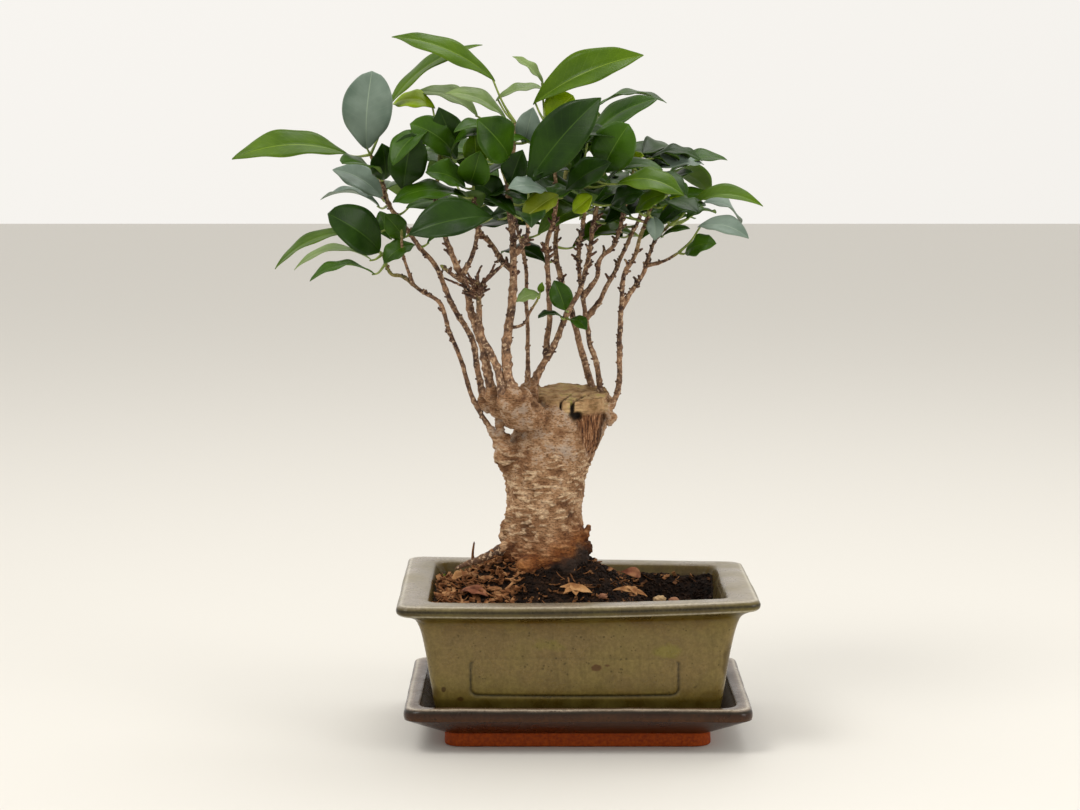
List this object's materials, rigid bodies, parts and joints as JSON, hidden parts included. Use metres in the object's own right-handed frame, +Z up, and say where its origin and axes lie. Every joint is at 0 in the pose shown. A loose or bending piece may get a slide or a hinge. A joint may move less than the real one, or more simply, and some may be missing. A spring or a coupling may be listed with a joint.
{
  "type": "bonsai tree in a pot",
  "caption": "Small fig bonsai with a thick cut trunk, thin upright stems and glossy leaves, in a rectangular glazed pot on its drip tray.",
  "frame": {"origin": "middle of the drip tray's foot, on the surface that it stands on", "axes": "+Z up, +X along the long side of the pot, -Y the front of the tree"},
  "size_m": [0.2964, 0.1695, 0.3986],
  "materials": {
    "tray_glaze": "dark brown glaze over a bare terracotta foot",
    "pot_glaze": "olive glaze, darker in the cove and lighter on the rim",
    "soil": "matte, peat-like potting soil with leaf litter",
    "trunk_bark": "rough bark with pale marks",
    "stem_bark": "matte brown bark",
    "leaf": "glossy green leaf"
  },
  "bodies": {
    "root": {"drip_tray": "tray_glaze", "pot": "pot_glaze", "soil": "soil", "trunk": "trunk_bark", "surface_root": "stem_bark", "stem_far_left": "stem_bark", "stem_left": "stem_bark", "stem_front_left": "stem_bark", "stem_front_inner": "stem_bark", "stem_front": "stem_bark", "stem_thin": "stem_bark", "stem_slanting": "stem_bark", "stem_centre": "stem_bark", "stem_back": "stem_bark", "stem_right_inner": "stem_bark", "stem_right": "stem_bark", "twig_far_left": "stem_bark", "twig_front_low": "stem_bark", "twig_front_upright": "stem_bark", "twig_outer": "stem_bark", "twig_inner": "stem_bark", "twig_back_right": "stem_bark", "twig_right_fork": "stem_bark", "twig_right_outer": "stem_bark", "twig_right_low": "stem_bark", "twig_middle": "stem_bark", "leaf_far_left": "leaf", "leaf_upright": "leaf", "leaf_tall_left": "leaf", "leaf_top_left": "leaf", "leaf_top": "leaf", "leaf_centre": "leaf", "leaf_edge_top": "leaf", "leaf_top_right": "leaf", "leaf_front_right": "leaf", "leaf_right_back": "leaf", "leaf_right_low": "leaf", "leaf_right": "leaf", "leaf_right_behind": "leaf", "leaf_right_tip": "leaf", "leaf_right_small": "leaf", "leaf_front_left": "leaf", "leaf_left_upright": "leaf", "leaf_left_upper": "leaf", "leaf_left_grey": "leaf", "leaf_left_dark": "leaf", "leaf_left_long": "leaf", "leaf_left_low": "leaf", "leaf_left_lowest": "leaf", "leaf_inner_left": "leaf", "leaf_inner_front": "leaf", "leaf_level": "leaf", "leaf_pale": "leaf", "leaf_mid_shoot": "leaf", "leaf_back_high": "leaf", "leaf_back_left": "leaf", "leaf_back_right": "leaf", "leaf_back_low": "leaf"}
  },
  "joints": []
}
